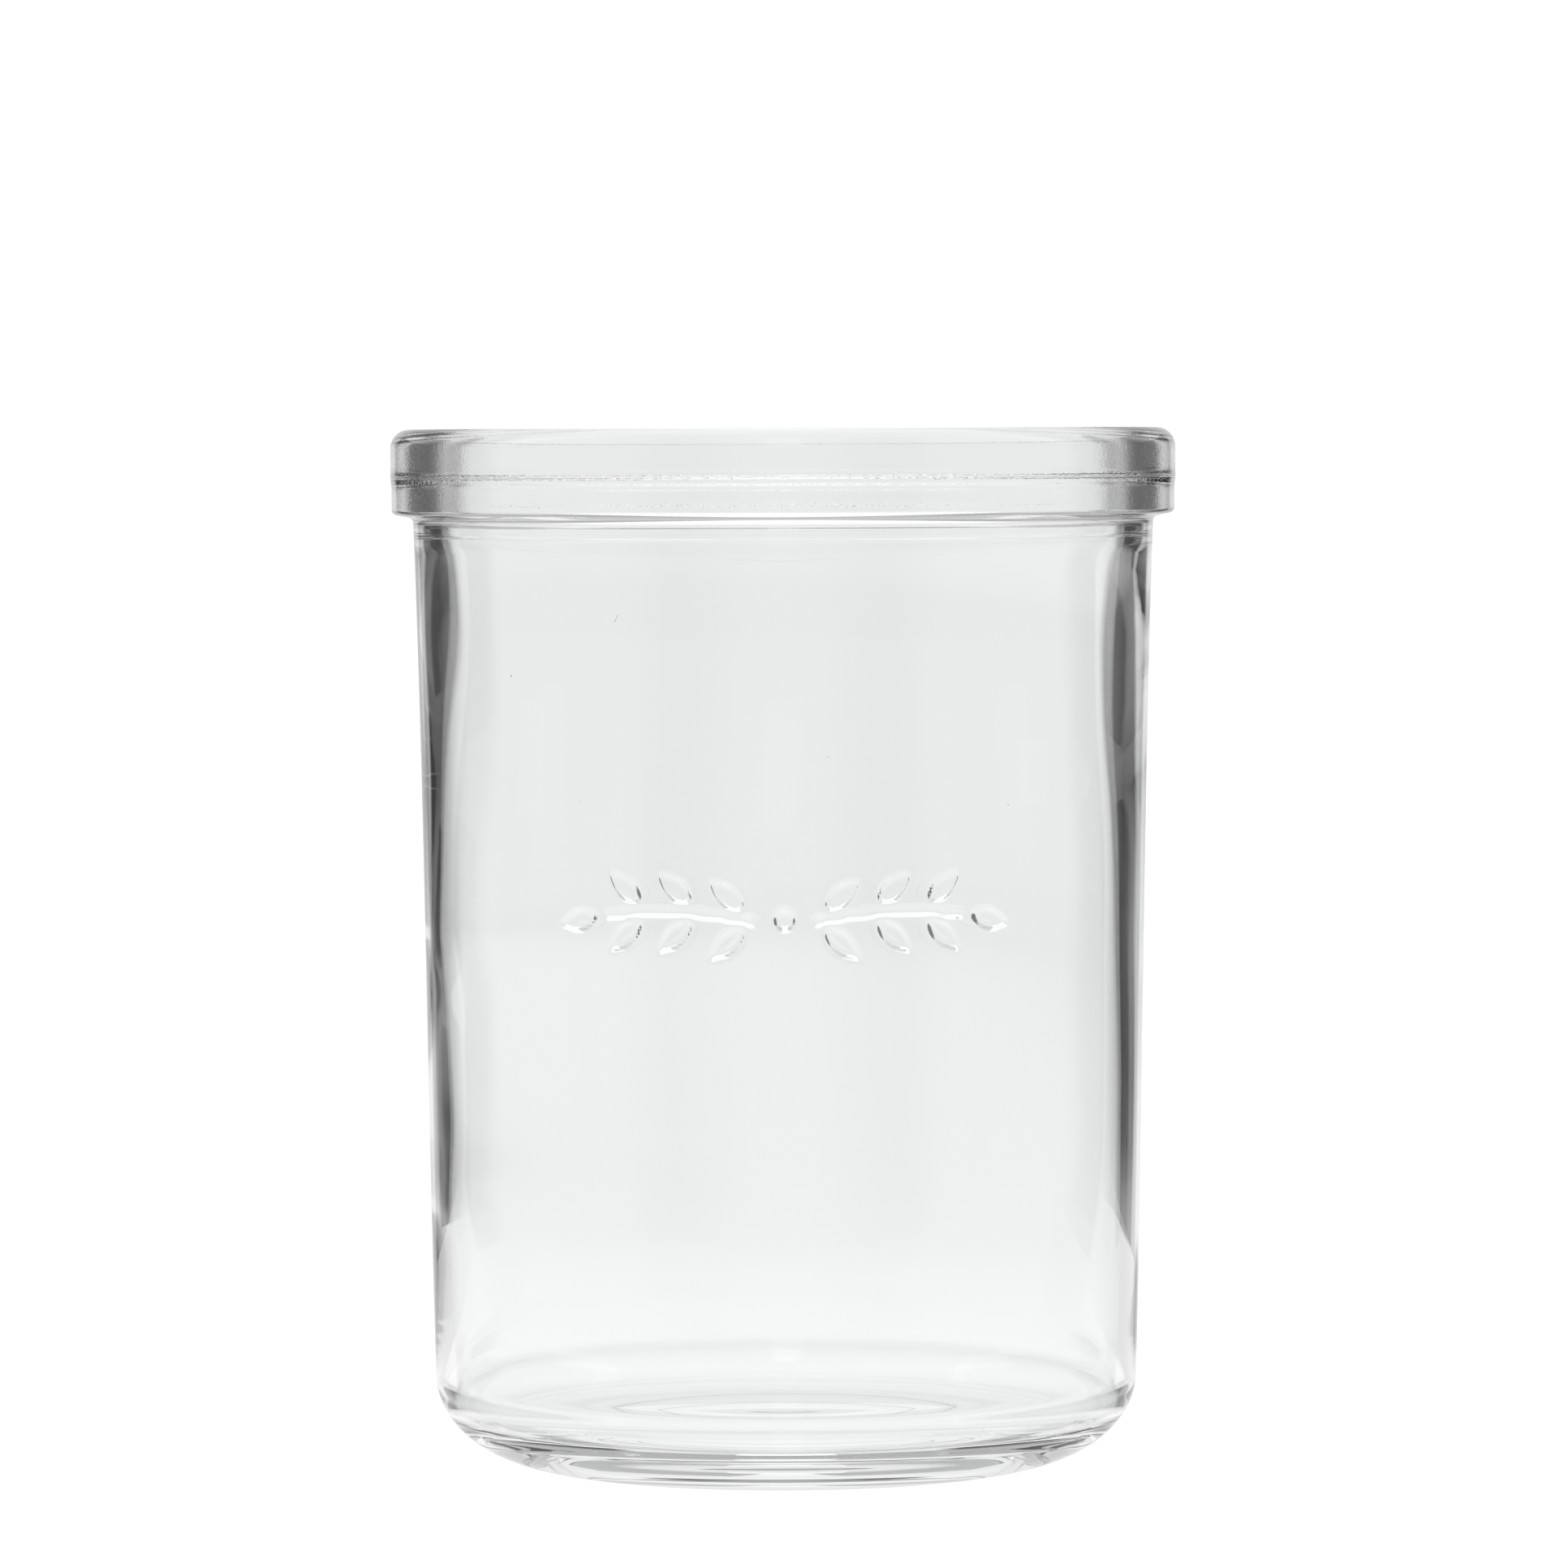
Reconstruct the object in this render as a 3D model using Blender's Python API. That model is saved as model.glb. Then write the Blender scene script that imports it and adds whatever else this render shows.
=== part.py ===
# A wide-mouth preserving jar of about one litre, pressed from clear glass, standing open.
# Metres, +Z up. The origin is the middle of the circle that the jar stands on, and the
# relief on its wall faces -Y.

from math import cos, pi, radians, sin, sqrt

import bmesh
import bpy

MM = 0.001

# The whole jar
HEIGHT = 150 * MM
SIDES = 80  # flats round the jar

# Collar: two bands, the lower one a hair narrower, over a sloping underside
COLLAR_RADIUS = 56.75 * MM
LIP_ROUND = 2.8 * MM
STEP_TOP = 142.8 * MM
STEP_FOOT = 141.4 * MM
LOWER_BAND_RADIUS = 56.5 * MM
COLLAR_FOOT = 137.6 * MM
COLLAR_EDGE_ROUND = 0.8 * MM
UNDERSIDE_RISE = 0.6 * MM  # how much higher the outer edge is than the root at the neck
NECK_FILLET = 0.8 * MM

# Wall: nearly straight, a little wider towards the collar
MID_HEIGHT = 65 * MM
MID_RADIUS = 51.86 * MM
TAPER = 0.0165  # radius gained for each unit of height
FLARE = 1.25  # per square metre, bends the taper outwards at the top and inwards at the foot
WALL_STEPS = 4
LOW_WALL = 2.7 * MM  # thickness where the wall was blown
NECK_WALL = 5 * MM  # thickness where it was pressed, under the collar
THICKENS_FROM = 92 * MM
THICKENS_TO = 119 * MM

# Heel and underside
HEEL_HEIGHT = 13.1 * MM
STANDING_RADIUS = 33 * MM
STANDING_WIDTH = 3 * MM
RECESS_DEPTH = 1.2 * MM
RECESS_SHOULDER = 1.6 * MM  # width of the slope between the standing ring and the dome
SHOULDER_SHARE = 0.45  # of the recess, climbed by that slope

# Inside
MOUTH_RADIUS = 49.45 * MM
MOUTH_ROUND = 1.6 * MM
NECK_HEIGHT = 134.5 * MM
FLOOR_HEIGHT = 6 * MM
FLOOR_RISE = 0.6 * MM
INNER_HEEL_ROUND = 5 * MM

# Sprig in low relief on the front of the wall
SPRIG_HEIGHT = 81.7 * MM
SPRIG_HALF_LENGTH = 34 * MM
SPRIG_RELIEF = 0.5 * MM
EDGE_RELIEF = 0.12 * MM  # how proud the rim of each piece is
SPRIG_ROOT = 0.8 * MM  # how deep each piece is sunk in the wall
STEM_START = 3.4 * MM
STEM_END = 26.5 * MM
STEM_WIDTH = 1.4 * MM
STEM_ARCH = 2.2 * MM
BERRY_RADIUS = 1.8 * MM
LEAF_LENGTH = 7 * MM
LEAF_WIDTH = 3.2 * MM
LEAF_TILT = radians(40)
LEAF_PAIRS = 3
LEAF_GAP = 1.3 * MM  # from the stem's middle line to a leaf's root
FIRST_LEAF = 5.5 * MM
LEAF_SPACING = 7.4 * MM
TIP_GAP = 0.5 * MM
TIP_TILT = radians(-12)

GLASS_COLOUR = (0.93, 0.95, 0.95, 1.0)


def clear_scene():
    for obj in list(bpy.data.objects):
        bpy.data.objects.remove(obj)


def arc(centre, radii, start, end, steps):
    """Points of an ellipse in the profile's plane; 0 degrees points away from the axis."""
    angles = [radians(start + (end - start) * i / steps) for i in range(steps + 1)]
    return [(centre[0] + radii[0] * cos(a), centre[1] + radii[1] * sin(a)) for a in angles]


def wall_radius(z):
    """Outer radius of the wall at a height."""
    rise = z - MID_HEIGHT
    return MID_RADIUS + TAPER * rise + FLARE * rise**3


def wall_heights(low, high):
    return [low + (high - low) * i / WALL_STEPS for i in range(WALL_STEPS + 1)]


def wall_thickness(z):
    """Thin low down, thick under the collar, with a soft change between."""
    share = min(1, max(0, (z - THICKENS_FROM) / (THICKENS_TO - THICKENS_FROM)))
    return LOW_WALL + (NECK_WALL - LOW_WALL) * share * share * (3 - 2 * share)


def inside_profile():
    """From the middle of the floor outwards, up the wall and over the lip to its flat top."""
    heel_top = FLOOR_HEIGHT + INNER_HEEL_ROUND
    heel_centre = wall_radius(heel_top) - LOW_WALL - INNER_HEEL_ROUND
    floor = [(heel_centre * t, FLOOR_HEIGHT + FLOOR_RISE * (1 - t * t)) for t in (0, 0.4, 0.75)]
    heel = arc((heel_centre, heel_top), (INNER_HEEL_ROUND, INNER_HEEL_ROUND), -90, 0, 5)
    heights = wall_heights(heel_top, THICKENS_FROM)[2::2] + wall_heights(THICKENS_FROM, THICKENS_TO)[1:]
    wall = [(wall_radius(z) - wall_thickness(z), z) for z in heights]
    neck = [(MOUTH_RADIUS, NECK_HEIGHT)]
    lip_foot = HEIGHT - MOUTH_ROUND
    lip_centre = (MOUTH_RADIUS + MOUTH_ROUND, lip_foot)
    lip = arc(lip_centre, (MOUTH_ROUND, MOUTH_ROUND), 180, 90, 3)
    return floor + heel + wall + neck + lip


def outside_profile():
    """From the flat top of the lip down the collar, the wall and the heel to the axis."""
    lip_centre = (COLLAR_RADIUS - LIP_ROUND, HEIGHT - LIP_ROUND)
    lip = arc(lip_centre, (LIP_ROUND, LIP_ROUND), 90, 0, 5)
    bands = [(COLLAR_RADIUS, STEP_TOP), (LOWER_BAND_RADIUS, STEP_FOOT)]
    edge_centre = (LOWER_BAND_RADIUS - COLLAR_EDGE_ROUND, COLLAR_FOOT + COLLAR_EDGE_ROUND)
    edge = arc(edge_centre, (COLLAR_EDGE_ROUND, COLLAR_EDGE_ROUND), 0, -75, 3)
    root_height = COLLAR_FOOT - UNDERSIDE_RISE
    neck_radius = wall_radius(root_height)
    fillet_centre = (neck_radius + NECK_FILLET, root_height - NECK_FILLET)
    fillet = arc(fillet_centre, (NECK_FILLET, NECK_FILLET), 90, 180, 3)
    heights = wall_heights(HEEL_HEIGHT, root_height - 2 * NECK_FILLET)
    wall = [(wall_radius(z), z) for z in reversed(heights)]
    heel_reach = wall_radius(HEEL_HEIGHT) - STANDING_RADIUS
    heel = arc((STANDING_RADIUS, HEEL_HEIGHT), (heel_reach, HEEL_HEIGHT), 0, -90, 9)[1:]
    recess_radius = STANDING_RADIUS - STANDING_WIDTH
    dome_radius = recess_radius - RECESS_SHOULDER
    dome_foot = RECESS_DEPTH * SHOULDER_SHARE
    standing = [(recess_radius, 0)]
    dome = [(dome_radius * t, RECESS_DEPTH - (RECESS_DEPTH - dome_foot) * t * t) for t in (1, 0.6, 0)]
    return lip + bands + edge + fillet + wall + heel + standing + dome


def glass_material():
    material = bpy.data.materials.new("clear glass")
    material.use_nodes = True
    shader = material.node_tree.nodes["Principled BSDF"]
    shader.inputs["Base Color"].default_value = GLASS_COLOUR
    shader.inputs["Roughness"].default_value = 0.02
    shader.inputs["Metallic"].default_value = 0
    shader.inputs["IOR"].default_value = 1.52
    shader.inputs["Transmission Weight"].default_value = 1
    return material


def add_object(name, bm):
    mesh = bpy.data.meshes.new(name)
    bm.to_mesh(mesh)
    bm.free()
    obj = bpy.data.objects.new(name, mesh)
    bpy.context.scene.collection.objects.link(obj)
    return obj


def turn_body():
    """The plain jar: its profile spun round the axis."""
    bm = bmesh.new()
    verts = [bm.verts.new((r, 0, z)) for r, z in inside_profile() + outside_profile()]
    for first, second in zip(verts, verts[1:]):
        bm.edges.new((first, second))
    bmesh.ops.spin(
        bm,
        geom=bm.verts[:] + bm.edges[:],
        cent=(0, 0, 0),
        axis=(0, 0, 1),
        angle=2 * pi,
        steps=SIDES,
        use_merge=True,
    )
    bmesh.ops.remove_doubles(bm, verts=bm.verts[:], dist=0.01 * MM)
    bmesh.ops.recalc_face_normals(bm, faces=bm.faces[:])
    return add_object("jar", bm)


def on_wall(along, up, out):
    """A point of the sprig: arc length round the wall, height above its middle, distance out."""
    z = SPRIG_HEIGHT + up
    radius = wall_radius(z)
    turn = along / radius
    return ((radius + out) * sin(turn), -(radius + out) * cos(turn), z)


def raised_pad(name, bm, place):
    """Turns a flat unit shape into a pad on the wall. Place gives each corner's crest from 0 to 1."""
    roots = bm.verts[:]
    grown = bmesh.ops.extrude_face_region(bm, geom=bm.faces[:])["geom"]
    tops = [item for item in grown if isinstance(item, bmesh.types.BMVert)]
    for vert in roots:
        along, up, _ = place(vert.co.x, vert.co.y)
        vert.co = on_wall(along, up, -SPRIG_ROOT)
    for vert in tops:
        along, up, crest = place(vert.co.x, vert.co.y)
        out = EDGE_RELIEF + (SPRIG_RELIEF - EDGE_RELIEF) * crest
        vert.co = on_wall(along, up, out)
    bmesh.ops.recalc_face_normals(bm, faces=bm.faces[:])
    return add_object(name, bm)


def stem_height(along):
    return STEM_ARCH * (sin(pi * abs(along) / SPRIG_HALF_LENGTH) - 0.5)


def add_stem(side):
    bm = bmesh.new()
    bmesh.ops.create_grid(bm, x_segments=8, y_segments=2, size=0.5)

    def place(s, t):
        along = side * (STEM_START + (STEM_END - STEM_START) * (s + 0.5))
        return along, stem_height(along) + STEM_WIDTH * t, 1 - 2 * abs(t)

    return raised_pad("stem", bm, place)


def add_leaf(side, root, tilt):
    """A pointed oval that leaves its root at a tilt from the stem's outward direction."""
    bm = bmesh.new()
    bmesh.ops.create_grid(bm, x_segments=4, y_segments=2, size=0.5)

    def place(s, t):
        reach = LEAF_LENGTH * (s + 0.5)
        half_width = LEAF_WIDTH * t * cos(0.9 * pi * s)
        along = root[0] + reach * cos(tilt) - half_width * sin(tilt)
        up = root[1] + reach * sin(tilt) + half_width * cos(tilt)
        return side * along, up, (1 - 2 * abs(t)) * cos(0.8 * pi * s)

    return raised_pad("leaf", bm, place)


def add_berry():
    bm = bmesh.new()
    bmesh.ops.create_circle(bm, cap_ends=True, cap_tris=True, segments=10, radius=0.5)

    def place(s, t):
        return 2 * BERRY_RADIUS * s, 2 * BERRY_RADIUS * t, 1 - 2 * sqrt(s * s + t * t)

    return raised_pad("berry", bm, place)


def add_sprig():
    """Two twigs that run outwards from a berry, with leaves in pairs and one at each tip."""
    pieces = [add_berry()]
    for side in (-1, 1):
        pieces.append(add_stem(side))
        for i in range(LEAF_PAIRS):
            along = FIRST_LEAF + i * LEAF_SPACING
            for lift in (-1, 1):
                root = (along, stem_height(along) + lift * LEAF_GAP)
                pieces.append(add_leaf(side, root, lift * LEAF_TILT))
        tip = (STEM_END + TIP_GAP, stem_height(STEM_END))
        pieces.append(add_leaf(side, tip, TIP_TILT))
    return pieces


def fuse(body, pieces):
    """Joins the pieces to the body as one solid."""
    group = bpy.data.collections.new("sprig")
    bpy.context.scene.collection.children.link(group)
    for piece in pieces:
        bpy.context.scene.collection.objects.unlink(piece)
        group.objects.link(piece)
    union = body.modifiers.new("sprig", "BOOLEAN")
    union.operation = "UNION"
    union.solver = "EXACT"
    union.operand_type = "COLLECTION"
    union.collection = group
    fused = bpy.data.meshes.new_from_object(body.evaluated_get(bpy.context.evaluated_depsgraph_get()))
    body.modifiers.clear()
    body.data = fused
    for piece in pieces:
        bpy.data.objects.remove(piece)
    bpy.data.collections.remove(group)


clear_scene()
jar = turn_body()
fuse(jar, add_sprig())
jar.data.materials.clear()
jar.data.materials.append(glass_material())
jar.data.shade_smooth()
jar.data.set_sharp_from_angle(angle=radians(35))
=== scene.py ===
import math

import bmesh
import bpy
from mathutils import Matrix, Vector, noise


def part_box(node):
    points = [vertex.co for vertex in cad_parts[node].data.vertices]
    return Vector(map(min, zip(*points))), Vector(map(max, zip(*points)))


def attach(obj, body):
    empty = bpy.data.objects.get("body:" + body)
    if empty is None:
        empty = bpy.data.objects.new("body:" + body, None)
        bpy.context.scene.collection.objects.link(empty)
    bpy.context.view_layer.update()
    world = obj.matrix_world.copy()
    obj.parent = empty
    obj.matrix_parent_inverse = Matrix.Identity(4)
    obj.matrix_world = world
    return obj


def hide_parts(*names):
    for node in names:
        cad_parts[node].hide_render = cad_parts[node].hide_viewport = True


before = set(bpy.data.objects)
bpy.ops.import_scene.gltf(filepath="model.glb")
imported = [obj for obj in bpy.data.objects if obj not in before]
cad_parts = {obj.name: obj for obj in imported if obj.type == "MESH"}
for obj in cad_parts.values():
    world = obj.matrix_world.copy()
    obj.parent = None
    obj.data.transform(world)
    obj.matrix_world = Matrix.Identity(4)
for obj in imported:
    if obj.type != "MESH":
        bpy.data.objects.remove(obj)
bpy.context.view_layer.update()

mm = 0.001
jarLow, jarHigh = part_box("jar")
jarHeight = jarHigh.z - jarLow.z
collarRadius = (jarHigh.x - jarLow.x) / 2

photoView = {
    "distance": 1200 * mm,  # from the jar's axis to the lens
    "height": 148.3 * mm,
    "pitchDown": 2.378,  # degrees
    "roll": 0.21,  # degrees; the picture's right side is higher
    "lens": 190.3,
    "sensor": 36.0,
    "clipStart": 0.05,
    "clipEnd": 60,
}

body = {
    "segments": 240,
    "lipRound": 2.8 * mm,
    "lowerBandInset": 0.15 * mm,  # the collar's lower band is this much narrower
    "stepTop": 142.8 * mm,
    "stepFoot": 141.4 * mm,
    "collarFoot": 137.6 * mm,
    "collarEdgeRound": 0.8 * mm,
    "undersideRise": 0.35 * mm,
    "neckFillet": 0.8 * mm,
    "midHeight": 65 * mm,
    "midRadius": 51.86 * mm,
    "taper": 0.0165,
    "flare": 1.25,
    "heelHeight": 13.1 * mm,
    "standingRadius": 33 * mm,
    "standingWidth": 3 * mm,
    "recessDepth": 1.2 * mm,
    "recessShoulder": 1.6 * mm,
    "shoulderShare": 0.45,
    "mouthRadius": 49.45 * mm,
    "mouthRound": 1.6 * mm,
    "neckHeight": 134.5 * mm,  # the mouth's straight bore starts here
    # (height, thickness at the left, thickness at the right), all in mm
    "wallByHeight": (
        (11, 2.8, 2.9),
        (26, 2.5, 2.8),
        (38, 2.3, 2.7),
        (50, 2.7, 2.8),
        (64, 2.6, 3.0),
        (76, 2.1, 3.2),
        (86, 2.4, 3.45),
        (96, 3.0, 3.9),
        (106, 3.8, 4.6),
        (115, 4.4, 5.0),
        (121, 4.55, 5.1),
        (127, 4.4, 4.8),
        (131, 4.2, 4.4),
        (134.5, 3.95, 4.0),
    ),
    "floorHeight": 6.3 * mm,
    "floorRise": 0.6 * mm,
    "innerHeelRound": 5 * mm,
    # height of a ring of faces on the wall, the bore and the collar's two bands
    "wallPitch": 2.4 * mm,
    "borePitch": 0.9 * mm,
    "upperPitch": 1 * mm,
    "lowerPitch": 0.8 * mm,
    "standingStart": 1.5 * mm,  # how far inside the heel's foot the flat ring's first point lies
    "mergeDistance": 0.002 * mm,
    # degrees through which the collar's lower edge turns, and where the fillet under it starts
    "edgeTurn": 78,
    "filletStart": 96,
}

# how many straight pieces each curve of the profile has
steps = {
    "floor": 14,
    "innerHeel": 22,
    "mouth": 8,
    "lip": 12,
    "bandStep": 8,
    "edge": 9,
    "fillet": 9,
    "heel": 34,
    "shoulder": 6,
    "dome": 13,
}

waviness = {
    "across": 14 * mm,
    "along": 34 * mm,
    "depth": 0.1 * mm,
    "start": Vector((3.1, 7.7, 1.3)),  # where in the noise the waves are taken
    "footFade": 30 * mm,  # the wall turns even over this height above the floor
    "headFade": 6 * mm,  # and over this height below the neck
    "wallInside": 40 * mm,  # nothing nearer the axis is wall
    "outerSkin": 1 * mm,  # the outer face, which stays even, lies within this of the wall's radius
}

sprig = {
    "height": 81.7 * mm,
    "halfLength": 34 * mm,
    "relief": 0.58 * mm,
    "stemStart": 3.4 * mm,
    "stemEnd": 26.5 * mm,
    "stemWidth": 1.5 * mm,
    "stemArch": 2.2 * mm,
    "berryRadius": 1.8 * mm,
    "leafLength": 7 * mm,
    "leafWidth": 3.4 * mm,
    "leafSwell": 0.8,  # under 1, a leaf is widest nearer its stem
    "leafTilt": math.radians(40),
    "leafPairs": 3,
    "leafGap": 1.3 * mm,
    "firstLeaf": 5.5 * mm,
    "leafSpacing": 7.4 * mm,
    "tipGap": 0.5 * mm,
    "tipTilt": math.radians(-12),
    # heights as shares of the relief, and the width over which each shape rises
    "berryRise": 1.25,
    "berryEdge": 0.9 * mm,
    "stemRise": 0.75,
    "stemSteepness": 1.6,
    "stemEndEdge": 1.2 * mm,
    "leafEdge": 0.7 * mm,
    "ribDepth": 0.4,
    "ribWidth": 0.28 * mm,
    # the part of the outer wall that gets finer faces
    "patchHalfHeight": 10.5 * mm,
    "patchMargin": 2 * mm,
    "patchDepth": 0.5 * mm,
    "patchCuts": 4,
}

seams = {
    "collarHeight": 143.1 * mm,
    "neckHeight": 134.6 * mm,
    "proud": 0.05 * mm,
    "halfWidth": 0.22 * mm,
}


def eased(share):
    share = min(1, max(0, share))
    return share * share * (3 - 2 * share)


def arcPoints(centre, radii, start, end, count):
    # points of an ellipse in the profile's plane; 0 degrees points away from the axis
    angles = [math.radians(start + (end - start) * i / count) for i in range(count + 1)]
    return [(centre[0] + radii[0] * math.cos(a), centre[1] + radii[1] * math.sin(a)) for a in angles]


def wallRadius(z):
    rise = z - body["midHeight"]
    return body["midRadius"] + body["taper"] * rise + body["flare"] * rise**3


def wallThickness(z, side=0):
    # blown thin low down and pressed thick under the neck; side runs from -1, left, to 1, right
    rows = body["wallByHeight"]
    height = min(max(z / mm, rows[0][0]), rows[-1][0])
    at = next(i for i in range(len(rows) - 1) if height <= rows[i + 1][0])
    near = [rows[max(0, min(at + step, len(rows) - 1))] for step in (-1, 0, 1, 2)]
    values = [(left + right) / 2 + (right - left) / 2 * side for _, left, right in near]
    share = (height - near[1][0]) / (near[2][0] - near[1][0])
    start = (values[2] - values[0]) / 2
    end = (values[3] - values[1]) / 2
    gap = values[2] - values[1]
    bend = (3 * gap - 2 * start - end) * share**2 + (start + end - 2 * gap) * share**3
    return (values[1] + start * share + bend) * mm


def heightsBetween(low, high, pitch):
    count = max(1, round(abs(high - low) / pitch))
    return [low + (high - low) * i / count for i in range(count + 1)]


def seamRidge(height, radius):
    # a fine ridge left by the mould's joint, from above it to below it
    half = seams["halfWidth"]
    crest = [(1, 0), (0.6, 0.25), (0.25, 0.85), (0, 1), (-0.25, 0.85), (-0.6, 0.25), (-1, 0)]
    return [(radius(height + half * t) + seams["proud"] * rise, height + half * t) for t, rise in crest]


def insideProfile():
    heelTop = body["floorHeight"] + body["innerHeelRound"]
    heelRound = body["innerHeelRound"]
    heelCentre = wallRadius(heelTop) - wallThickness(heelTop) - heelRound
    floor = []
    for i in range(steps["floor"]):
        share = i / steps["floor"]
        floor.append((heelCentre * share, body["floorHeight"] + body["floorRise"] * (1 - share * share)))
    heel = arcPoints((heelCentre, heelTop), (heelRound, heelRound), -90, 0, steps["innerHeel"])
    heights = heightsBetween(heelTop, body["neckHeight"], body["wallPitch"])[1:]
    wall = [(wallRadius(z) - wallThickness(z), z) for z in heights]
    lipFoot = jarHeight - body["mouthRound"]
    boreHeights = heightsBetween(body["neckHeight"], lipFoot, body["borePitch"])
    bore = [(body["mouthRadius"], z) for z in boreHeights[1:-1]]
    lipCentre = (body["mouthRadius"] + body["mouthRound"], lipFoot)
    lip = arcPoints(lipCentre, (body["mouthRound"], body["mouthRound"]), 180, 90, steps["mouth"])
    return floor + heel + wall + bore + lip


def outsideProfile():
    lipRound = body["lipRound"]
    lipCentre = (collarRadius - lipRound, jarHeight - lipRound)
    lip = arcPoints(lipCentre, (lipRound, lipRound), 90, 0, steps["lip"])
    seamTop = seams["collarHeight"] + seams["halfWidth"]
    upperHeights = heightsBetween(jarHeight - lipRound, seamTop, body["upperPitch"])
    upper = [(collarRadius, z) for z in upperHeights[1:-1]]
    upper += seamRidge(seams["collarHeight"], lambda z: collarRadius)
    step = []
    for i in range(1, steps["bandStep"] + 1):
        share = i / steps["bandStep"]
        height = body["stepTop"] + (body["stepFoot"] - body["stepTop"]) * share
        step.append((collarRadius - body["lowerBandInset"] * eased(share), height))
    lowerRadius = collarRadius - body["lowerBandInset"]
    edgeRound = body["collarEdgeRound"]
    edgeTop = body["collarFoot"] + edgeRound
    lowerHeights = heightsBetween(body["stepFoot"], edgeTop, body["lowerPitch"])
    lower = [(lowerRadius, z) for z in lowerHeights[1:-1]]
    edgeCentre = (lowerRadius - edgeRound, edgeTop)
    edge = arcPoints(edgeCentre, (edgeRound, edgeRound), 0, -body["edgeTurn"], steps["edge"])
    rootHeight = body["collarFoot"] - body["undersideRise"]
    fillet = body["neckFillet"]
    filletCentre = (wallRadius(rootHeight) + fillet, rootHeight - fillet)
    neck = arcPoints(filletCentre, (fillet, fillet), body["filletStart"], 180, steps["fillet"])
    ridge = seamRidge(seams["neckHeight"], wallRadius)
    heights = heightsBetween(ridge[-1][1], body["heelHeight"], body["wallPitch"])[1:-1]
    wall = [(wallRadius(z), z) for z in heights]
    reach = wallRadius(body["heelHeight"]) - body["standingRadius"]
    heelCentre = (body["standingRadius"], body["heelHeight"])
    heel = arcPoints(heelCentre, (reach, body["heelHeight"]), 0, -90, steps["heel"])
    recessRadius = body["standingRadius"] - body["standingWidth"]
    domeRadius = recessRadius - body["recessShoulder"]
    domeFoot = body["recessDepth"] * body["shoulderShare"]
    standing = [(body["standingRadius"] - body["standingStart"], 0), (recessRadius, 0)]
    shoulder = []
    for i in range(1, steps["shoulder"] + 1):
        share = i / steps["shoulder"]
        shoulder.append((recessRadius - body["recessShoulder"] * share, domeFoot * eased(share)))
    dome = []
    for i in reversed(range(steps["dome"])):
        share = i / steps["dome"]
        fall = (body["recessDepth"] - domeFoot) * share * share
        dome.append((domeRadius * share, body["recessDepth"] - fall))
    return lip + upper + step + lower + edge + neck + ridge + wall + heel + standing + shoulder + dome


def shapeInside(bm):
    # the wall's uneven thickness, with slight waves as blown glass has
    for vert in bm.verts:
        radius = vert.co.xy.length
        inside = wallRadius(vert.co.z) - waviness["outerSkin"]
        if not waviness["wallInside"] < radius < inside or vert.co.z > body["neckHeight"]:
            continue
        foot = min(1, max(0, (vert.co.z - body["floorHeight"]) / waviness["footFade"]))
        head = min(1, max(0, (body["neckHeight"] - vert.co.z) / waviness["headFade"]))
        uneven = wallThickness(vert.co.z) - wallThickness(vert.co.z, vert.co.x / radius)
        across, along = waviness["across"], waviness["along"]
        waves = Vector((vert.co.x / across, vert.co.y / across, vert.co.z / along))
        uneven += waviness["depth"] * noise.noise(waves + waviness["start"])
        vert.co.xy *= 1 + uneven * foot * head / radius


def wallPlace(along, up, out=0):
    # a point on the front of the wall, measured along it from the middle of the sprig
    z = sprig["height"] + up
    radius = wallRadius(z)
    turn = along / radius
    return Vector(((radius + out) * math.sin(turn), -(radius + out) * math.cos(turn), z))


def stemHeight(along):
    return sprig["stemArch"] * (math.sin(math.pi * abs(along) / sprig["halfLength"]) - 0.5)


def leafList():
    # where each leaf starts and how it tilts, for the right half of the sprig
    leaves = []
    for i in range(sprig["leafPairs"]):
        along = sprig["firstLeaf"] + i * sprig["leafSpacing"]
        for lift in (-1, 1):
            leaves.append((along, stemHeight(along) + lift * sprig["leafGap"], lift * sprig["leafTilt"]))
    leaves.append((sprig["stemEnd"] + sprig["tipGap"], stemHeight(sprig["stemEnd"]), sprig["tipTilt"]))
    return leaves


def sprigRelief(along, up, leaves):
    reach = abs(along)
    high = sprig["berryRise"] * eased((sprig["berryRadius"] - math.hypot(reach, up)) / sprig["berryEdge"])
    if sprig["stemStart"] < reach < sprig["stemEnd"]:
        off = abs(up - stemHeight(reach)) / (sprig["stemWidth"] / 2)
        ends = min(reach - sprig["stemStart"], sprig["stemEnd"] - reach) / sprig["stemEndEdge"]
        high = max(high, sprig["stemRise"] * eased((1 - off) * sprig["stemSteepness"]) * eased(ends))
    for rootAlong, rootUp, tilt in leaves:
        ahead, over = reach - rootAlong, up - rootUp
        across = over * math.cos(tilt) - ahead * math.sin(tilt)
        share = (ahead * math.cos(tilt) + over * math.sin(tilt)) / sprig["leafLength"]
        if not 0 < share < 1:
            continue
        half = sprig["leafWidth"] / 2 * math.sin(math.pi * share ** sprig["leafSwell"])
        edge = eased((half - abs(across)) / sprig["leafEdge"])
        rib = sprig["ribDepth"] * math.exp(-((across / sprig["ribWidth"]) ** 2)) * (1 - share)
        high = max(high, edge * (1 - rib))
    return high * sprig["relief"]


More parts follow.
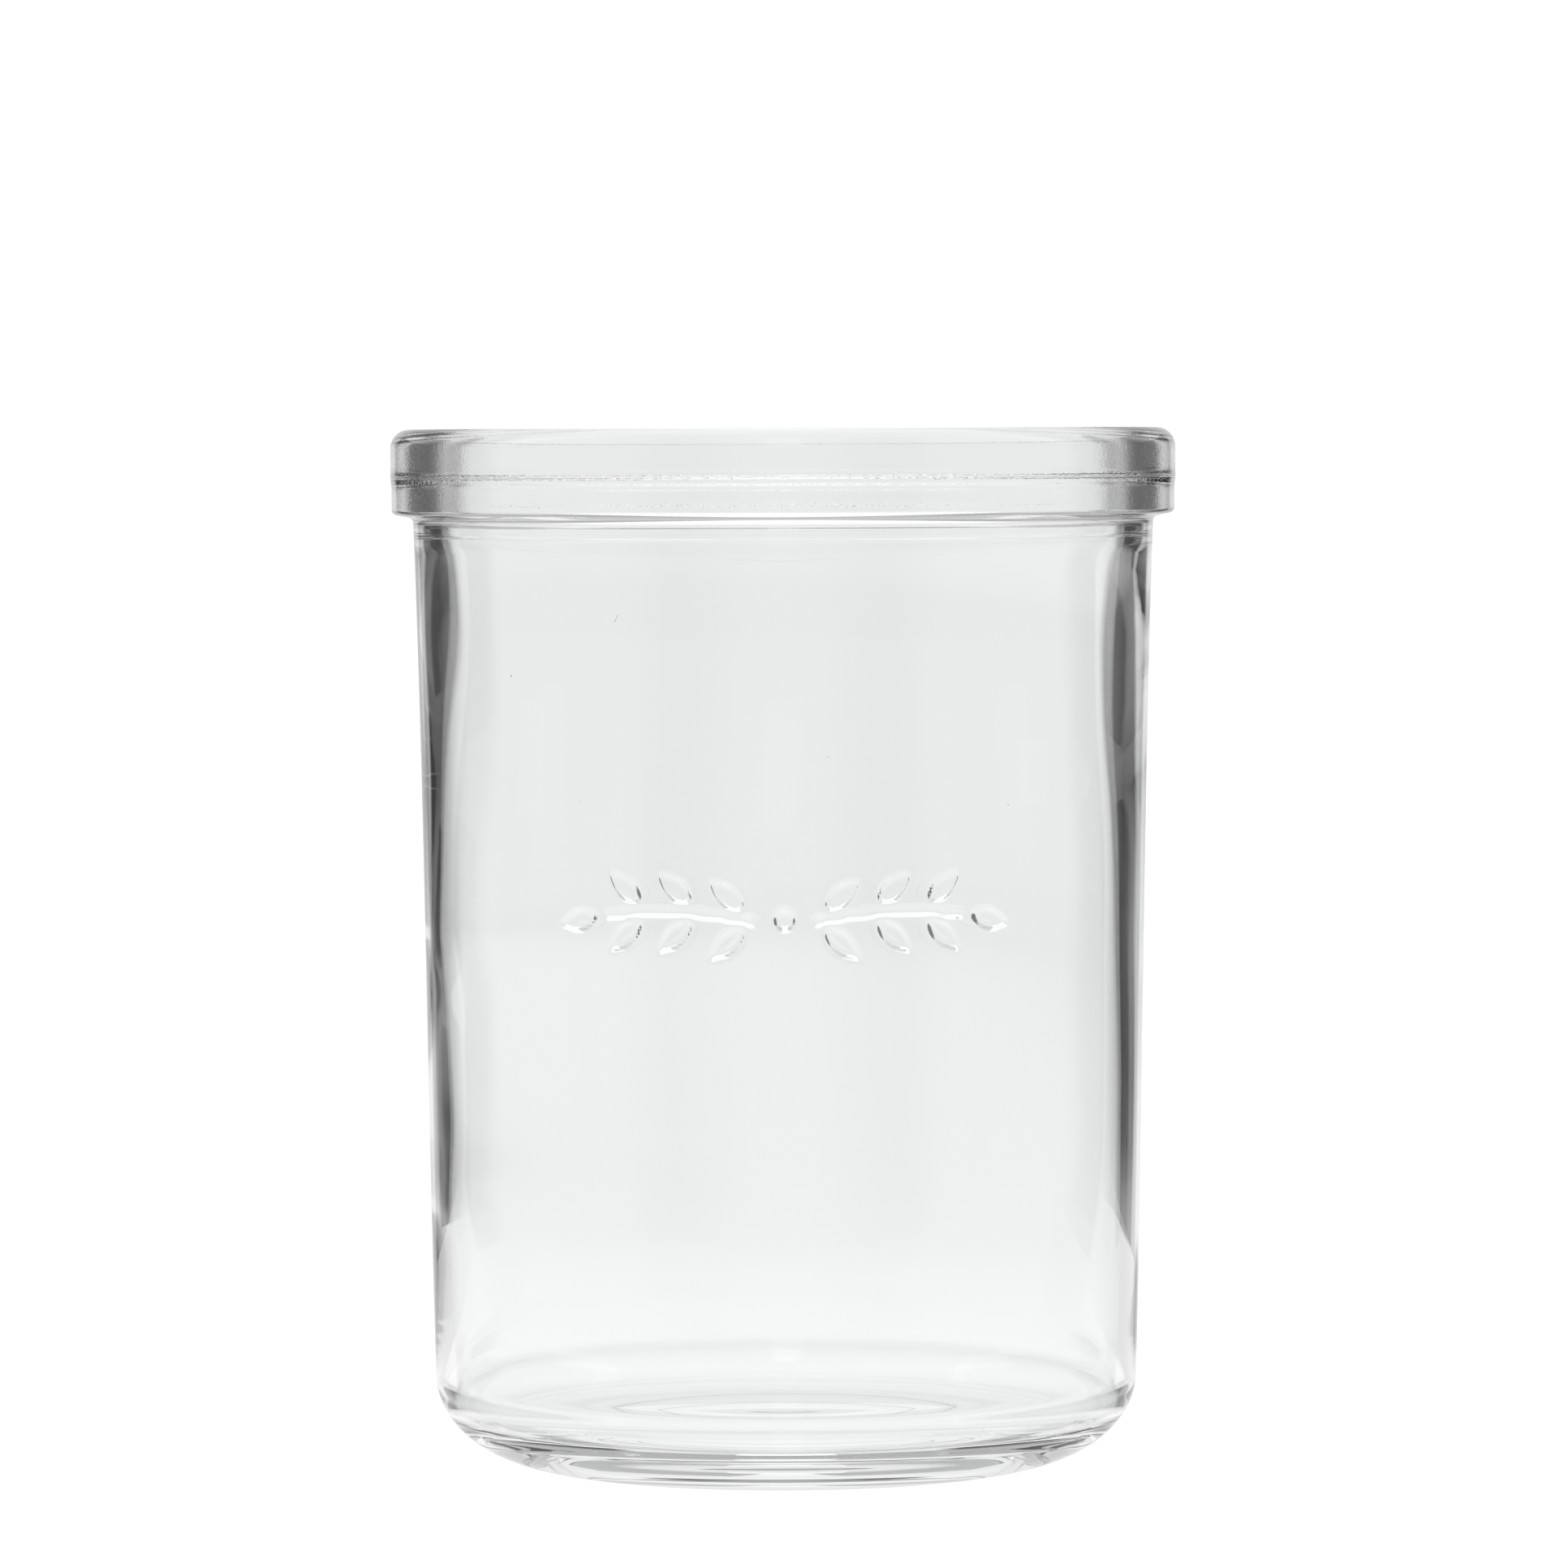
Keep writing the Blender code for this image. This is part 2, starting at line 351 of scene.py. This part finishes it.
def raiseSprig(bm):
    def inPatch(vert):
        turn = math.atan2(vert.co.x, -vert.co.y)
        level = abs(vert.co.z - sprig["height"]) < sprig["patchHalfHeight"]
        outer = vert.co.xy.length > wallRadius(vert.co.z) - sprig["patchDepth"]
        reach = sprig["halfLength"] + sprig["patchMargin"]
        return outer and level and abs(turn) * body["midRadius"] < reach

    inside = {vert for vert in bm.verts if inPatch(vert)}
    edges = [edge for edge in bm.edges if edge.verts[0] in inside and edge.verts[1] in inside]
    bmesh.ops.subdivide_edges(bm, edges=edges, cuts=sprig["patchCuts"], use_grid_fill=True)
    leaves = leafList()
    for vert in bm.verts:
        if inPatch(vert):
            along = math.atan2(vert.co.x, -vert.co.y) * wallRadius(vert.co.z)
            up = vert.co.z - sprig["height"]
            vert.co = wallPlace(along, up, sprigRelief(along, up, leaves))


def spinGlass():
    bm = bmesh.new()
    verts = [bm.verts.new((r, 0, z)) for r, z in insideProfile() + outsideProfile()]
    for first, second in zip(verts, verts[1:]):
        bm.edges.new((first, second))
    bmesh.ops.spin(
        bm,
        geom=bm.verts[:] + bm.edges[:],
        cent=(0, 0, 0),
        axis=(0, 0, 1),
        angle=2 * math.pi,
        steps=body["segments"],
        use_merge=True,
    )
    bmesh.ops.remove_doubles(bm, verts=bm.verts[:], dist=body["mergeDistance"])
    shapeInside(bm)
    raiseSprig(bm)
    bmesh.ops.recalc_face_normals(bm, faces=bm.faces[:])
    return bm


surface = {
    "colour": (0.985, 0.99, 0.99, 1),
    "bending": 1.52,  # index of refraction
    "peelFoot": 136.6 * mm,  # the ripples fade in from here up
    "peelFull": 138.2 * mm,
    "peelSize": 0.35 * mm,  # the collar's orange-peel ripples
    "peelDepth": 0.006 * mm,
    "seamDepth": 0.08 * mm,
    "seamWidth": 0.16 * mm,
    "seamWander": 0.2 * mm,  # how far the mould line strays up and down
    "wanderSize": 1.3 * mm,
    "speckCore": 0.3,  # the share of a speck's radius that has its full height
    "speckThickness": 1 * mm,
    # specks on the front: across, height, length, width, lean in degrees, depth; mm
    "specks": (
        (-23.3, 123.6, 0.75, 0.14, -25, 0.1),
        (-38.3, 115.3, 0.2, 0.2, 0, 0.08),
        (6.1, 104.4, 0.2, 0.2, 0, 0.08),
        (31.4, 97.2, 0.17, 0.17, 0, 0.07),
        (-28.5, 98.0, 0.15, 0.15, 0, 0.05),
    ),
}


def mathsNode(material, operation, first, second=0.0):
    # a Math node whose inputs are numbers or other nodes' outputs
    step = material.node_tree.nodes.new("ShaderNodeMath")
    step.operation = operation
    for socket, value in zip(step.inputs, (first, second)):
        if isinstance(value, (int, float)):
            socket.default_value = value
        else:
            material.node_tree.links.new(value, socket)
    return step.outputs[0]


def glassMaterial():
    material = bpy.data.materials.new("clearGlass")
    material.use_nodes = True
    nodes, links = material.node_tree.nodes, material.node_tree.links
    shader = nodes["Principled BSDF"]
    shader.inputs["Base Color"].default_value = surface["colour"]
    shader.inputs["Roughness"].default_value = 0
    shader.inputs["IOR"].default_value = surface["bending"]
    shader.inputs["Transmission Weight"].default_value = 1
    place = nodes.new("ShaderNodeTexCoord").outputs["Object"]
    split = nodes.new("ShaderNodeSeparateXYZ")
    links.new(place, split.inputs[0])

    def maths(operation, first, second=0.0):
        return mathsNode(material, operation, first, second)

    def noiseOf(size, detail):
        texture = nodes.new("ShaderNodeTexNoise")
        texture.inputs["Scale"].default_value = 1 / size
        texture.inputs["Detail"].default_value = detail
        links.new(place, texture.inputs["Vector"])
        return texture.outputs["Fac"]

    def between(value, low, high):
        spread = nodes.new("ShaderNodeMapRange")
        spread.interpolation_type = "SMOOTHSTEP"
        spread.inputs["From Min"].default_value = low
        spread.inputs["From Max"].default_value = high
        links.new(value, spread.inputs["Value"])
        return spread.outputs[0]

    up = split.outputs["Z"]
    onCollar = between(up, surface["peelFoot"], surface["peelFull"])
    peel = maths("MULTIPLY", noiseOf(surface["peelSize"], 2), surface["peelDepth"])
    ripples = maths("MULTIPLY", peel, onCollar)
    stray = maths("SUBTRACT", noiseOf(surface["wanderSize"], 3), 0.5)
    wander = maths("MULTIPLY", stray, 2 * surface["seamWander"])
    offset = maths("SUBTRACT", maths("SUBTRACT", up, seams["collarHeight"]), wander)
    seam = between(maths("ABSOLUTE", offset), surface["seamWidth"], 0)
    height = maths("ADD", ripples, maths("MULTIPLY", seam, surface["seamDepth"]))
    for across, level, length, width, lean, depth in surface["specks"]:
        radius = wallRadius(level * mm)
        turn = math.asin(across * mm / radius)
        mapping = nodes.new("ShaderNodeMapping")
        mapping.vector_type = "TEXTURE"
        mapping.inputs["Location"].default_value = (across * mm, -radius * math.cos(turn), level * mm)
        mapping.inputs["Rotation"].default_value = (0, math.radians(-lean), turn)
        mapping.inputs["Scale"].default_value = (width * mm, surface["speckThickness"], length * mm)
        links.new(place, mapping.inputs["Vector"])
        size = nodes.new("ShaderNodeVectorMath")
        size.operation = "LENGTH"
        links.new(mapping.outputs[0], size.inputs[0])
        speck = between(size.outputs["Value"], 1, surface["speckCore"])
        height = maths("ADD", height, maths("MULTIPLY", speck, depth * mm))
    bump = nodes.new("ShaderNodeBump")
    bump.inputs["Distance"].default_value = 1
    links.new(height, bump.inputs["Height"])
    links.new(bump.outputs[0], shader.inputs["Normal"])
    return material


def addMesh(name, bm, material):
    mesh = bpy.data.meshes.new(name)
    bm.to_mesh(mesh)
    bm.free()
    mesh.shade_smooth()
    piece = bpy.data.objects.new(name, mesh)
    piece.data.materials.append(material)
    bpy.context.scene.collection.objects.link(piece)
    return piece


def addCamera():
    data = bpy.data.cameras.new("photoCamera")
    data.lens = photoView["lens"]
    data.sensor_width = photoView["sensor"]
    data.clip_start = photoView["clipStart"]
    data.clip_end = photoView["clipEnd"]
    camera = bpy.data.objects.new("photoCamera", data)
    bpy.context.scene.collection.objects.link(camera)
    camera.location = (0, -photoView["distance"], photoView["height"])
    tilt = Matrix.Rotation(math.radians(90 - photoView["pitchDown"]), 4, "X")
    roll = Matrix.Rotation(math.radians(-photoView["roll"]), 4, "Z")
    camera.rotation_euler = (tilt @ roll).to_euler()
    bpy.context.scene.camera = camera


def emissionMaterial(name, level):
    material = bpy.data.materials.new(name)
    material.use_nodes = True
    nodes = material.node_tree.nodes
    nodes.clear()
    light = nodes.new("ShaderNodeEmission")
    light.inputs["Color"].default_value = (level, level, level, 1)
    out = nodes.new("ShaderNodeOutputMaterial")
    material.node_tree.links.new(light.outputs[0], out.inputs[0])
    return material


studio = {
    "floorHalf": 6000 * mm,
    "floorDrop": 0.2 * mm,  # so that the floor doesn't touch the jar's foot
    "white": 1.08,  # what the camera sees behind the jar
    "cardFoot": 75 * mm,  # where a pale card starts, from the jar's axis
    "cardNear": 255 * mm,  # where a dark card takes over
    "cardFar": 5200 * mm,
    "cardDeep": 560 * mm,  # from here on it is fully dark
    "cardHaze": 0.3,  # how much of the horizon's brightness its near end takes
    "cardOffset": 52 * mm,  # from the axis to each side of the jar
    # (degrees outwards from straight behind or in front of a side, brightness)
    "backCard": ((19, 0.84), (23, 0.06), (44, 0.06), (56, 0.84)),
    "nearCard": ((14, 0.97), (24, 0.74), (50, 0.74), (66, 0.97)),
    "frontCard": ((10, 0.9), (30, 0.62), (42, 0.62), (54, 0.88)),
    "cardHeight": 1500 * mm,
    # (distance from the axis in mm, brightness that the glass sees); the dip under the jar, deepest at 36
    # mm, is a painted contact shadow round the foot, and the fall from 300 mm out is painted dimming of
    # the light far from the jar
    "floorLevels": (
        (0, 0.95),
        (24, 0.92),
        (29, 0.82),
        (36, 0.76),
        (45, 0.82),
        (54, 0.97),
        (75, 1.0),
        (300, 0.9),
        (600, 0.89),
        (1000, 0.88),
        (1800, 0.83),
        (4000, 0.83),
    ),
    # the sky's two levels, and the sines of the elevations between which they blend
    "horizon": 0.84,
    "horizonTop": 0.15,
    "zenith": 0.42,
    "zenithFoot": 0.4,
    "stripDistance": 1500 * mm,
    "stripWidth": 320 * mm,
    "stripSpan": (250 * mm, 2600 * mm),
    "stripLevel": 1.05,
    # how often light may turn in all, through glass and by mirroring
    "bounces": 24,
    "glassBounces": 20,
    "mirrorBounces": 16,
}


def cameraOr(nodes, links, colour):
    # white for the camera, the given colour for what the glass bends or mirrors;
    # the Mix node's inputs 6 and 7 are its two colours
    seen = nodes.new("ShaderNodeLightPath")
    pick = nodes.new("ShaderNodeMix")
    pick.data_type = "RGBA"
    links.new(seen.outputs["Is Camera Ray"], pick.inputs["Factor"])
    links.new(colour, pick.inputs[6])
    pick.inputs[7].default_value = (studio["white"], studio["white"], studio["white"], 1)
    return pick.outputs[2]


def fillRamp(ramp, stops):
    elements = ramp.color_ramp.elements
    while len(elements) < len(stops):
        elements.new(0.5)
    for element, (place, level) in zip(elements, stops):
        element.position = place
        element.color = (level, level, level, 1)


def addFloor():
    material = bpy.data.materials.new("floorWithPaintedShadow")
    material.use_nodes = True
    nodes, links = material.node_tree.nodes, material.node_tree.links
    nodes.clear()
    coords = nodes.new("ShaderNodeTexCoord")
    distance = nodes.new("ShaderNodeVectorMath")
    distance.operation = "LENGTH"
    links.new(coords.outputs["Object"], distance.inputs[0])
    share = nodes.new("ShaderNodeMath")
    share.operation = "MULTIPLY"
    reach = studio["floorLevels"][-1][0]
    share.inputs[1].default_value = 1 / (reach * mm)
    share.use_clamp = True
    links.new(distance.outputs["Value"], share.inputs[0])
    # this ramp paints the contact shadow ring round the jar's foot and the dimmer floor far out, for what
    # the glass sees
    ramp = nodes.new("ShaderNodeValToRGB")
    fillRamp(ramp, [(place / reach, level) for place, level in studio["floorLevels"]])
    links.new(share.outputs[0], ramp.inputs["Fac"])
    light = nodes.new("ShaderNodeEmission")
    links.new(cameraOr(nodes, links, ramp.outputs["Color"]), light.inputs["Color"])
    out = nodes.new("ShaderNodeOutputMaterial")
    links.new(light.outputs[0], out.inputs[0])
    bm = bmesh.new()
    bmesh.ops.create_grid(bm, x_segments=1, y_segments=1, size=studio["floorHalf"])
    floor = addMesh("floor", bm, material)
    floor.location.z = -studio["floorDrop"]


def cardMaterial(stops):
    # its brightness changes with the angle from the jar, and its near end is paler
    material = bpy.data.materials.new("softCard")
    material.use_nodes = True
    nodes, links = material.node_tree.nodes, material.node_tree.links
    nodes.clear()
    split = nodes.new("ShaderNodeSeparateXYZ")
    links.new(nodes.new("ShaderNodeTexCoord").outputs["Object"], split.inputs[0])

    def maths(operation, first, second=0.0):
        return mathsNode(material, operation, first, second)

    across = maths("SUBTRACT", maths("ABSOLUTE", split.outputs["X"]), studio["cardOffset"])
    away = maths("ABSOLUTE", split.outputs["Y"])
    widest = math.tan(math.radians(stops[-1][0]))
    ramp = nodes.new("ShaderNodeValToRGB")
    fillRamp(ramp, [(math.tan(math.radians(angle)) / widest, level) for angle, level in stops])
    links.new(maths("DIVIDE", maths("DIVIDE", across, away), widest), ramp.inputs["Fac"])
    fade = nodes.new("ShaderNodeMapRange")
    fade.inputs["From Min"].default_value = studio["cardNear"]
    fade.inputs["From Max"].default_value = studio["cardDeep"]
    fade.inputs["To Min"].default_value = studio["cardHaze"]
    fade.inputs["To Max"].default_value = 0
    links.new(away, fade.inputs["Value"])
    mix = nodes.new("ShaderNodeMix")
    mix.data_type = "RGBA"
    links.new(fade.outputs[0], mix.inputs["Factor"])
    links.new(ramp.outputs["Color"], mix.inputs[6])
    mix.inputs[7].default_value = (studio["horizon"], studio["horizon"], studio["horizon"], 1)
    light = nodes.new("ShaderNodeEmission")
    links.new(mix.outputs[2], light.inputs["Color"])
    out = nodes.new("ShaderNodeOutputMaterial")
    links.new(light.outputs[0], out.inputs[0])
    return material


def hideFromCamera(card):
    card.visible_camera = False
    card.visible_diffuse = False
    card.visible_shadow = False


def addCard(turn, side, near, far, stops):
    # a card along the floor, as wide as its stops say; one that goes far out stands up there
    slopes = [math.tan(math.radians(stop[0])) for stop in (stops[0], stops[-1])]
    standing = far == studio["cardFar"]
    bm = bmesh.new()
    bmesh.ops.create_grid(bm, x_segments=1, y_segments=2 if standing else 1, size=0.5)
    for vert in bm.verts:
        # the grid's rows lie at -0.5 and 0.5, and at 0 where the card stands up
        slope = slopes[0] if vert.co.x < 0 else slopes[1]
        along = near if vert.co.y < -0.25 else far
        height = studio["cardHeight"] if standing and vert.co.y > 0.25 else 0
        vert.co = turn @ Vector((side * (studio["cardOffset"] + along * slope), along, height))
    card = addMesh("darkCard", bm, cardMaterial(stops))
    hideFromCamera(card)
    return card


def addStrip(turn):
    # a narrow bright strip over the backdrop, for the base's middle
    bm = bmesh.new()
    bmesh.ops.create_grid(bm, x_segments=1, y_segments=1, size=0.5)
    foot, head = studio["stripSpan"]
    for vert in bm.verts:
        height = foot if vert.co.y < 0 else head
        vert.co = turn @ Vector((vert.co.x * studio["stripWidth"], studio["stripDistance"], height))
    hideFromCamera(addMesh("brightStrip", bm, emissionMaterial("stripWhite", studio["stripLevel"])))


def addCards():
    # cards that only the glass sees, dark behind the jar and paler in front of it
    near, far = studio["cardNear"], studio["cardFar"]
    behind = Matrix.Identity(3)
    inFront = Matrix.Rotation(math.pi, 3, "Z")
    for side in (-1, 1):
        addCard(behind, side, near, far, studio["backCard"])
        addCard(behind, side, studio["cardFoot"], near, studio["nearCard"])
        addCard(inFront, side, near, far, studio["frontCard"]).visible_glossy = False
    for quarter in range(4):
        addStrip(Matrix.Rotation(math.radians(90 * quarter), 3, "Z"))


def addWorld():
    world = bpy.data.worlds.new("studio")
    bpy.context.scene.world = world
    world.use_nodes = True
    nodes, links = world.node_tree.nodes, world.node_tree.links
    background = nodes["Background"]
    coords = nodes.new("ShaderNodeTexCoord")
    split = nodes.new("ShaderNodeSeparateXYZ")
    links.new(coords.outputs["Generated"], split.inputs[0])
    ramp = nodes.new("ShaderNodeValToRGB")
    stops = ((studio["horizonTop"], studio["horizon"]), (studio["zenithFoot"], studio["zenith"]))
    fillRamp(ramp, stops)
    links.new(split.outputs["Z"], ramp.inputs["Fac"])
    links.new(cameraOr(nodes, links, ramp.outputs["Color"]), background.inputs["Color"])


print("glass body")
glass = addMesh("glassJar", spinGlass(), glassMaterial())
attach(glass, "root")
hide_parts("jar")
print(len(glass.data.polygons), "faces")

print("studio and camera")
addFloor()
addCards()
addWorld()
addCamera()
scene = bpy.context.scene
scene.view_settings.view_transform = "Standard"
scene.cycles.max_bounces = studio["bounces"]
scene.cycles.transmission_bounces = studio["glassBounces"]
scene.cycles.glossy_bounces = studio["mirrorBounces"]
